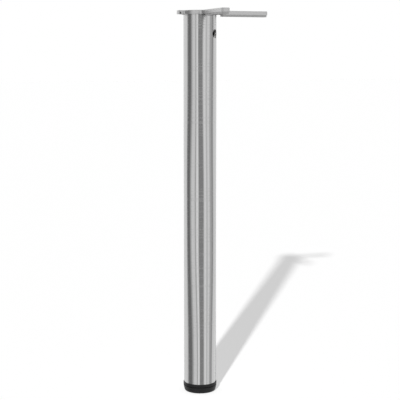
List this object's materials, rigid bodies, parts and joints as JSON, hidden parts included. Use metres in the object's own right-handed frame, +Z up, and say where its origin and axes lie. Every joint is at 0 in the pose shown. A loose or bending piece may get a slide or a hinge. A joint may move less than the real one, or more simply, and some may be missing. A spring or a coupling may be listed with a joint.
{
  "type": "height adjustable table leg",
  "caption": "Round brushed steel table leg with a cast four-armed mounting plate on top and a black screw-in foot that adjusts its height.",
  "frame": {"origin": "on the tube's axis, on the floor under the foot", "axes": "+Z up along the tube; the plate's long arms point along +X and -Y"},
  "size_m": [0.174, 0.174, 0.71],
  "materials": {
    "cast_zinc": "cast zinc alloy, satin nickel plated",
    "black_steel": "black oxide",
    "tube_steel": "nickel plated steel brushed round the tube",
    "fastener_steel": "zinc plated",
    "grey_plastic": "moulded, light grey",
    "black_plastic": "moulded, fine matte"
  },
  "bodies": {
    "leg": {"mounting_plate": "cast_zinc", "plate_spigot": "fastener_steel", "tube": "tube_steel", "tube_collar": "grey_plastic", "clamp_nut": "fastener_steel", "clamp_screw": "black_steel", "end_plug": "black_plastic", "stud_nut": "fastener_steel"},
    "foot": {"foot": "black_plastic", "foot_stud": "fastener_steel"}
  },
  "joints": [
    {"name": "foot_height", "type": "slide", "parent": "leg", "child": "foot", "axis": [0, 0, -1], "range_m": [0, 0.02]}
  ]
}
